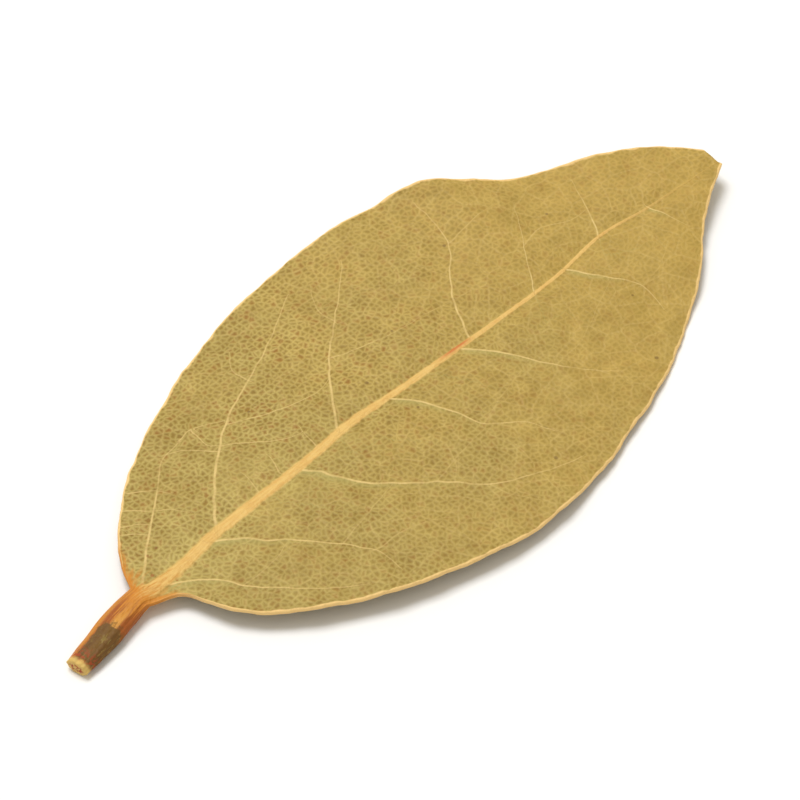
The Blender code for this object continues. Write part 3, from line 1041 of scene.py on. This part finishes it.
strip_side = add_node("MapRange", SMOOTH, Value=strip_reach,
                      From_Min=0.12, From_Max=0.40, **FALLING)
strip_fibres = add_node("MapRange", SMOOTH, Value=fibres,
                        From_Min=0.36, From_Max=0.56, To_Min=0.35, To_Max=1.0)
strip = add_node("Math", TIMES, strip_side, strip_fibres)
edge_tint = add_node("Mix", COLOUR, stalk_left, i6=linear(FLUSH_DEEP), i7=linear(STALK_EDGE))
deep_tint = add_node("Mix", COLOUR, strip, i6=edge_tint, i7=linear(STALK_STRIP))
with_deep = add_node("Mix", COLOUR, deep, i6=with_flush, i7=deep_tint)
print("flush from", FLUSH, "to", FLUSH_DEEP)

# %% [markdown]
# ### The stalk
#
# The stalk is orange-brown, with a dark grey-brown patch over most of its outer part that
# leaves an orange strip along its left edge. The patch holds small greenish flecks. Its
# shape is a rounded box on the leaf's ruler, with its edge made ragged by noise, because
# a plain noise mask could not be put in that one place.

# %% The grey-brown patch
STALK_GREY, STALK_FLECK = "#66491C", "#8C7A40"
RAGGED_SIZE, RAGGED_DEPTH = 0.53, 0.9
FLECK_LENGTH, FLECKS_AROUND = 1.1, 17.0
stalk_noise = add_node("TexNoise", Vector=ruler, Scale=1 / RAGGED_SIZE,
                       Detail=4.0, Roughness=0.65)
patch_reach = add_node("Math", TIMES_ADD, stalk_noise, RAGGED_DEPTH, carried["patch"])
patch = add_node("MapRange", SMOOTH, Value=patch_reach,
                 From_Min=1.30, From_Max=1.52, To_Min=0.92, To_Max=0.0)
fleck_scaled = add_node("VectorMath", TIMES, fibre_place,
                        (1 / FLECK_LENGTH, FLECKS_AROUND, 1.0))
fleck_noise = add_node("TexNoise", Vector=fleck_scaled, Scale=1.0, Detail=4.0, Roughness=0.7)
fleck = add_node("MapRange", SMOOTH, Value=fleck_noise,
                 From_Min=0.52, From_Max=0.66, To_Max=0.8)
patch_tint = add_node("Mix", COLOUR, fleck, i6=linear(STALK_GREY), i7=linear(STALK_FLECK))
with_patch = add_node("Mix", COLOUR, patch, i6=with_deep, i7=patch_tint)
print("flecks", FLECK_LENGTH, "mm long")

# %% [markdown]
# The cut end is pale, with the reddish ends of the fibres in its middle and a few more
# just outside it. The mesh carries a number that is highest at the middle of the cut.

# %% The cut end
CUT_PALE, CUT_RED, FIBRE_END = "#D8B868", "#A0401E", 0.22
pale_end = add_node("MapRange", SMOOTH, Value=run,
                    From_Min=-7.35, From_Max=-6.9, To_Min=0.85, To_Max=0.0)
with_end = add_node("Mix", COLOUR, pale_end, i6=with_patch, i7=linear(CUT_PALE))
end_noise = add_node("TexNoise", Vector=ruler, Scale=1 / FIBRE_END, Detail=3.0)
red_ends = add_node("MapRange", SMOOTH, Value=end_noise, From_Min=0.47, From_Max=0.56)
end_reach = add_node("MapRange", SMOOTH, Value=run,
                     From_Min=-6.9, From_Max=-5.6, To_Min=0.8, To_Max=0.0)
in_cut = add_node("MapRange", SMOOTH, Value=carried["cut"], From_Min=0.58, From_Max=0.75)
off_rim = add_node("Math", {"operation": "SUBTRACT", "use_clamp": True}, end_reach, pale_end)
red_where = add_node("Math", {"operation": "MAXIMUM"}, off_rim, in_cut)
red_shown = add_node("Math", TIMES, red_ends, red_where)
with_red = add_node("Mix", COLOUR, red_shown, i6=with_end, i7=linear(CUT_RED))
tree.links.new(with_red.outputs[2], shader.inputs["Base Color"])
print("fibre ends about", FIBRE_END, "mm across")

# %% [markdown]
# ### Sheen and fine relief
#
# The cells of the net sink as they dry, so each line of it is a tiny ridge. These are a
# few hundredths of a millimetre high, too fine for the mesh, and go in as bump. The
# surface is matte, with only a trace of wax. Its real grain is finer than 0.05 mm; it is
# drawn at 0.14 mm, the finest that shows.

# %% Roughness and bump
WAX, GRAIN = 0.28, 0.14
RIDGE_HEIGHT = 0.035 * MM
VEIN_SHARE, GRAIN_SHARE = 0.8, 0.35
grain = add_node("TexNoise", Vector=ruler, Scale=1 / GRAIN, Detail=3.0)
roughness = add_node("MapRange", Value=grain,
                     From_Min=0.25, From_Max=0.75, To_Min=0.52, To_Max=0.68)
tree.links.new(roughness.outputs[0], shader.inputs["Roughness"])
shader.inputs["Specular IOR Level"].default_value = WAX
ridges = add_node("Math", TIMES_ADD, side_line, VEIN_SHARE, net)
with_loops = add_node("Math", TIMES_ADD, thin_lines, VEIN_SHARE, ridges)
with_streaks = add_node("Math", TIMES_ADD, fibres, rib_edge, with_loops)
with_grain = add_node("Math", TIMES_ADD, grain, GRAIN_SHARE, with_streaks)
relief_bump = add_node("Bump", Height=with_grain, Strength=1.0, Distance=RIDGE_HEIGHT)
tree.links.new(relief_bump.outputs[0], shader.inputs["Normal"])
leaf.data.materials.append(finish)
print("finish of", len(tree.nodes), "nodes")

# %% [markdown]
# ## Place in the frame
#
# The leaf is one grown piece with no joint, so it rides the root body and stands in for
# the one solid of the frame. It was modelled at the frame's own place and size, so
# nothing has to be moved or scaled.

# %% Place in the frame
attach(leaf, "root")
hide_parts("bay_leaf")
print(leaf.name, "stands for bay_leaf")

# %% [markdown]
# ## Floor
#
# The leaf lies on a plain white surface that runs out of sight. A plane far larger than
# the leaf does that, and it catches the contact shadow that shows which margin lifts.

# %% Floor
FLOOR_SIZE, FLOOR_GAP = 3.0, 0.00002
deselect()
bpy.ops.mesh.primitive_plane_add(size=FLOOR_SIZE, location=(0, 0, cad_box[0][2] - FLOOR_GAP))
floor = bpy.context.object
floor.name = "floor"
# White card: bright and quite matte, so that the eye sees only the leaf and its shadow.
white = bpy.data.materials.new("white_card")
white.use_nodes = True
card = white.node_tree.nodes["Principled BSDF"]
card.inputs["Base Color"].default_value = linear("#F4F4F4")
card.inputs["Roughness"].default_value = 0.9
floor.data.materials.append(white)
print("floor", FLOOR_SIZE, "m across")

# %% [markdown]
# ## Lights
#
# A large soft light high behind the leaf gives the broad, soft shadow on the near side,
# and a warm, bright surround fills it. A small lamp would give a hard edge, and the
# surround alone no shadow at all. The light is placed as seen from the camera's side, so
# its direction is worked out from the camera's azimuth.

# %% Lights
AZIMUTH = -44.7
KEY_SIZE, KEY_WATTS, KEY_COLOUR = 0.46, 6.6, (0.98, 1.0, 1.03)
KEY_RIGHT, KEY_BACK, KEY_UP = -0.21, 0.25, 0.90
SURROUND, SURROUND_STRENGTH = (1.0, 0.94, 0.82, 1.0), 0.62
azimuth = math.radians(AZIMUTH)
to_right = Vector((math.cos(azimuth), math.sin(azimuth), 0))
to_back = Vector((-math.sin(azimuth), math.cos(azimuth), 0))
key_place = KEY_RIGHT * to_right + KEY_BACK * to_back + Vector((0, 0, KEY_UP))
softbox = bpy.data.lights.new("softbox", "AREA")
softbox.shape = "SQUARE"
softbox.size = KEY_SIZE
softbox.energy = KEY_WATTS
softbox.color = KEY_COLOUR
key = bpy.data.objects.new("softbox", softbox)
bpy.context.scene.collection.objects.link(key)
key.location = key_place
key.rotation_euler = (-key_place).to_track_quat("-Z", "Y").to_euler()
world = bpy.data.worlds.new("studio")
world.use_nodes = True
surround = world.node_tree.nodes["Background"]
surround.inputs["Color"].default_value = SURROUND
surround.inputs["Strength"].default_value = SURROUND_STRENGTH
bpy.context.scene.world = world
bpy.context.scene.view_settings.view_transform = "Standard"
print("key light", round(key_place.length, 2), "m away")

# %% [markdown]
# ## Camera
#
# A long lens from well above shows the whole upper face with little perspective. A short
# lens would swell the near margin. The camera is placed by its azimuth, elevation and
# distance, and looks at the middle of the leaf.

# %% Camera
ELEVATION, DISTANCE, LENS = 48.6, 0.40, 240
tilt = math.radians(ELEVATION)
back = Vector((math.sin(azimuth) * math.cos(tilt), -math.cos(azimuth) * math.cos(tilt),
               math.sin(tilt)))
aim = Vector((0, 0, MM))
camera_data = bpy.data.cameras.new("camera")
camera_data.lens = LENS
camera = bpy.data.objects.new("camera", camera_data)
bpy.context.scene.collection.objects.link(camera)
camera.location = aim + back * DISTANCE
camera.rotation_euler = back.to_track_quat("Z", "Y").to_euler()
bpy.context.scene.camera = camera
print("camera at", [round(c, 3) for c in camera.location])

# %% [markdown]
# ## Up to date
#
# The view layer is updated, so that every object's place in the scene is current.

# %% Update the view layer
bpy.context.view_layer.update()
